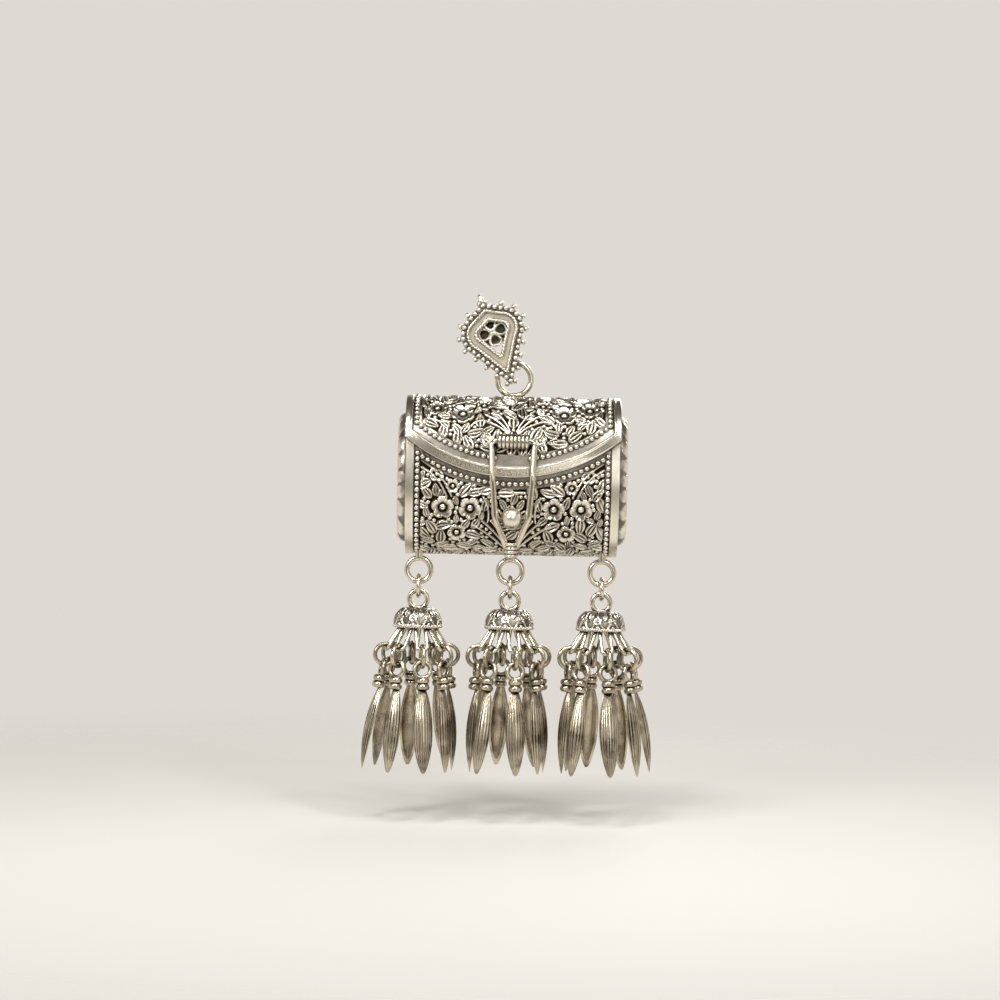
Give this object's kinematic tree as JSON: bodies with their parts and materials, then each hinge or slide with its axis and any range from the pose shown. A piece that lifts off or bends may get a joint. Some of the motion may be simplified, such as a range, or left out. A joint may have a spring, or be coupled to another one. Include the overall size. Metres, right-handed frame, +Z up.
{
  "type": "amulet box pendant",
  "caption": "Purse-shaped silver amulet box pendant with a barrel front, hinged flap lid, loop latch over a knob, teardrop bail and hanging leaf tassels.",
  "frame": {"origin": "middle of the bail's chain tube", "axes": "+Z up as the pendant hangs, +X to the viewer's right along the box, +Y to the flat back"},
  "size_m": [0.0514, 0.0203, 0.0848],
  "materials": {
    "chased_silver": "chased and oxidised silver",
    "beaded_silver": "beaded and twisted silver wire",
    "polished_silver": "polished silver",
    "silver_wire": "drawn silver wire",
    "ribbed_silver": "pressed and oxidised silver leaf"
  },
  "bodies": {
    "bail": {"bail_plate": "polished_silver", "bail_border_wires": "beaded_silver", "bail_granules": "beaded_silver", "bail_flower": "silver_wire", "bail_chain_tube": "polished_silver", "bail_ring_staple": "silver_wire"},
    "box": {"top_ring": "silver_wire", "box_shell": "chased_silver", "left_end_plate": "chased_silver", "right_end_plate": "chased_silver", "end_rims": "polished_silver", "body_bead_rows": "beaded_silver", "hinge_leaf": "silver_wire", "hinge_pin": "silver_wire", "knob": "polished_silver", "tassel_rings": "silver_wire"},
    "lid": {"lid_shell": "chased_silver", "lid_edge_band": "polished_silver", "lid_bead_row": "beaded_silver", "lid_knuckles": "silver_wire", "latch_tube": "silver_wire", "latch_rosettes": "chased_silver"},
    "latch": {"latch_loop": "silver_wire", "latch_tip": "silver_wire"},
    "left_link": {"left_link": "silver_wire"},
    "left_tassel": {"left_cap": "chased_silver", "left_cap_ring": "silver_wire", "left_hooks": "silver_wire"},
    "left_drop_1": {"left_drop_1": "ribbed_silver"},
    "left_drop_2": {"left_drop_2": "ribbed_silver"},
    "left_drop_3": {"left_drop_3": "ribbed_silver"},
    "left_drop_4": {"left_drop_4": "ribbed_silver"},
    "left_drop_5": {"left_drop_5": "ribbed_silver"},
    "left_drop_6": {"left_drop_6": "ribbed_silver"},
    "left_drop_7": {"left_drop_7": "ribbed_silver"},
    "left_drop_8": {"left_drop_8": "ribbed_silver"},
    "middle_link": {"middle_link": "silver_wire"},
    "middle_tassel": {"middle_cap": "chased_silver", "middle_cap_ring": "silver_wire", "middle_hooks": "silver_wire"},
    "middle_drop_1": {"middle_drop_1": "ribbed_silver"},
    "middle_drop_2": {"middle_drop_2": "ribbed_silver"},
    "middle_drop_3": {"middle_drop_3": "ribbed_silver"},
    "middle_drop_4": {"middle_drop_4": "ribbed_silver"},
    "middle_drop_5": {"middle_drop_5": "ribbed_silver"},
    "middle_drop_6": {"middle_drop_6": "ribbed_silver"},
    "middle_drop_7": {"middle_drop_7": "ribbed_silver"},
    "middle_drop_8": {"middle_drop_8": "ribbed_silver"},
    "right_link": {"right_link": "silver_wire"},
    "right_tassel": {"right_cap": "chased_silver", "right_cap_ring": "silver_wire", "right_hooks": "silver_wire"},
    "right_drop_1": {"right_drop_1": "ribbed_silver"},
    "right_drop_2": {"right_drop_2": "ribbed_silver"},
    "right_drop_3": {"right_drop_3": "ribbed_silver"},
    "right_drop_4": {"right_drop_4": "ribbed_silver"},
    "right_drop_5": {"right_drop_5": "ribbed_silver"},
    "right_drop_6": {"right_drop_6": "ribbed_silver"},
    "right_drop_7": {"right_drop_7": "ribbed_silver"},
    "right_drop_8": {"right_drop_8": "ribbed_silver"}
  },
  "joints": [
    {"name": "box_swing", "type": "hinge", "parent": "bail", "child": "box", "pos_m": [0.0042, -0.00145, -0.0067], "axis": [0, 1, 0], "range_deg": [-40, 40]},
    {"name": "lid_hinge", "type": "hinge", "parent": "box", "child": "lid", "pos_m": [0.0042, -0.0045, -0.01298], "axis": [-1, 0, 0], "range_deg": [0, 85]},
    {"name": "latch_pivot", "type": "hinge", "parent": "lid", "child": "latch", "pos_m": [0.0042, -0.0146, -0.02011], "axis": [-1, 0, 0], "range_deg": [0, 100]},
    {"name": "left_link_swing", "type": "hinge", "parent": "box", "child": "left_link", "pos_m": [-0.012, -0.0065, -0.04508], "axis": [1, 0, 0], "range_deg": [-30, 30]},
    {"name": "left_cap_swing", "type": "hinge", "parent": "left_link", "child": "left_tassel", "pos_m": [-0.012, -0.0065, -0.04659], "axis": [1, 0, 0], "range_deg": [-25, 25]},
    {"name": "left_drop_1_swing", "type": "hinge", "parent": "left_tassel", "child": "left_drop_1", "pos_m": [-0.00661, -0.00543, -0.05704], "axis": [0.1951, -0.9808, 0], "range_deg": [0, 2.5]},
    {"name": "left_drop_2_swing", "type": "hinge", "parent": "left_tassel", "child": "left_drop_2", "pos_m": [-0.00895, -0.00193, -0.05704], "axis": [0.8315, -0.5556, 0], "range_deg": [0, 22]},
    {"name": "left_drop_3_swing", "type": "hinge", "parent": "left_tassel", "child": "left_drop_3", "pos_m": [-0.01308, -0.00111, -0.05704], "axis": [0.9808, 0.1951, 0], "range_deg": [0, 22]},
    {"name": "left_drop_4_swing", "type": "hinge", "parent": "left_tassel", "child": "left_drop_4", "pos_m": [-0.01658, -0.00344, -0.05704], "axis": [0.5556, 0.8315, 0], "range_deg": [0, 22]},
    {"name": "left_drop_5_swing", "type": "hinge", "parent": "left_tassel", "child": "left_drop_5", "pos_m": [-0.0174, -0.00757, -0.05704], "axis": [-0.1951, 0.9808, 0], "range_deg": [0, 22]},
    {"name": "left_drop_6_swing", "type": "hinge", "parent": "left_tassel", "child": "left_drop_6", "pos_m": [-0.01506, -0.01107, -0.05704], "axis": [-0.8315, 0.5556, 0], "range_deg": [0, 22]},
    {"name": "left_drop_7_swing", "type": "hinge", "parent": "left_tassel", "child": "left_drop_7", "pos_m": [-0.01093, -0.01189, -0.05704], "axis": [-0.9808, -0.1951, 0], "range_deg": [0, 22]},
    {"name": "left_drop_8_swing", "type": "hinge", "parent": "left_tassel", "child": "left_drop_8", "pos_m": [-0.00743, -0.00956, -0.05704], "axis": [-0.5556, -0.8315, 0], "range_deg": [0, 2.5]},
    {"name": "middle_link_swing", "type": "hinge", "parent": "box", "child": "middle_link", "pos_m": [0.0042, -0.0065, -0.04508], "axis": [1, 0, 0], "range_deg": [-30, 30]},
    {"name": "middle_cap_swing", "type": "hinge", "parent": "middle_link", "child": "middle_tassel", "pos_m": [0.0042, -0.0065, -0.04659], "axis": [1, 0, 0], "range_deg": [-25, 25]},
    {"name": "middle_drop_1_swing", "type": "hinge", "parent": "middle_tassel", "child": "middle_drop_1", "pos_m": [0.00959, -0.00543, -0.05704], "axis": [0.1951, -0.9808, 0], "range_deg": [0, 2.5]},
    {"name": "middle_drop_2_swing", "type": "hinge", "parent": "middle_tassel", "child": "middle_drop_2", "pos_m": [0.00725, -0.00193, -0.05704], "axis": [0.8315, -0.5556, 0], "range_deg": [0, 22]},
    {"name": "middle_drop_3_swing", "type": "hinge", "parent": "middle_tassel", "child": "middle_drop_3", "pos_m": [0.00312, -0.00111, -0.05704], "axis": [0.9808, 0.1951, 0], "range_deg": [0, 22]},
    {"name": "middle_drop_4_swing", "type": "hinge", "parent": "middle_tassel", "child": "middle_drop_4", "pos_m": [-0.00038, -0.00344, -0.05704], "axis": [0.5556, 0.8315, 0], "range_deg": [0, 2.5]},
    {"name": "middle_drop_5_swing", "type": "hinge", "parent": "middle_tassel", "child": "middle_drop_5", "pos_m": [-0.0012, -0.00757, -0.05704], "axis": [-0.1951, 0.9808, 0], "range_deg": [0, 2.5]},
    {"name": "middle_drop_6_swing", "type": "hinge", "parent": "middle_tassel", "child": "middle_drop_6", "pos_m": [0.00114, -0.01107, -0.05704], "axis": [-0.8315, 0.5556, 0], "range_deg": [0, 22]},
    {"name": "middle_drop_7_swing", "type": "hinge", "parent": "middle_tassel", "child": "middle_drop_7", "pos_m": [0.00527, -0.01189, -0.05704], "axis": [-0.9808, -0.1951, 0], "range_deg": [0, 22]},
    {"name": "middle_drop_8_swing", "type": "hinge", "parent": "middle_tassel", "child": "middle_drop_8", "pos_m": [0.00877, -0.00956, -0.05704], "axis": [-0.5556, -0.8315, 0], "range_deg": [0, 2.5]},
    {"name": "right_link_swing", "type": "hinge", "parent": "box", "child": "right_link", "pos_m": [0.0204, -0.0065, -0.04508], "axis": [1, 0, 0], "range_deg": [-30, 30]},
    {"name": "right_cap_swing", "type": "hinge", "parent": "right_link", "child": "right_tassel", "pos_m": [0.0204, -0.0065, -0.04659], "axis": [1, 0, 0], "range_deg": [-25, 25]},
    {"name": "right_drop_1_swing", "type": "hinge", "parent": "right_tassel", "child": "right_drop_1", "pos_m": [0.02579, -0.00543, -0.05704], "axis": [0.1951, -0.9808, 0], "range_deg": [0, 22]},
    {"name": "right_drop_2_swing", "type": "hinge", "parent": "right_tassel", "child": "right_drop_2", "pos_m": [0.02345, -0.00193, -0.05704], "axis": [0.8315, -0.5556, 0], "range_deg": [0, 22]},
    {"name": "right_drop_3_swing", "type": "hinge", "parent": "right_tassel", "child": "right_drop_3", "pos_m": [0.01932, -0.00111, -0.05704], "axis": [0.9808, 0.1951, 0], "range_deg": [0, 22]},
    {"name": "right_drop_4_swing", "type": "hinge", "parent": "right_tassel", "child": "right_drop_4", "pos_m": [0.01582, -0.00344, -0.05704], "axis": [0.5556, 0.8315, 0], "range_deg": [0, 2.5]},
    {"name": "right_drop_5_swing", "type": "hinge", "parent": "right_tassel", "child": "right_drop_5", "pos_m": [0.015, -0.00757, -0.05704], "axis": [-0.1951, 0.9808, 0], "range_deg": [0, 2.5]},
    {"name": "right_drop_6_swing", "type": "hinge", "parent": "right_tassel", "child": "right_drop_6", "pos_m": [0.01734, -0.01107, -0.05704], "axis": [-0.8315, 0.5556, 0], "range_deg": [0, 22]},
    {"name": "right_drop_7_swing", "type": "hinge", "parent": "right_tassel", "child": "right_drop_7", "pos_m": [0.02147, -0.01189, -0.05704], "axis": [-0.9808, -0.1951, 0], "range_deg": [0, 22]},
    {"name": "right_drop_8_swing", "type": "hinge", "parent": "right_tassel", "child": "right_drop_8", "pos_m": [0.02497, -0.00956, -0.05704], "axis": [-0.5556, -0.8315, 0], "range_deg": [0, 22]}
  ]
}
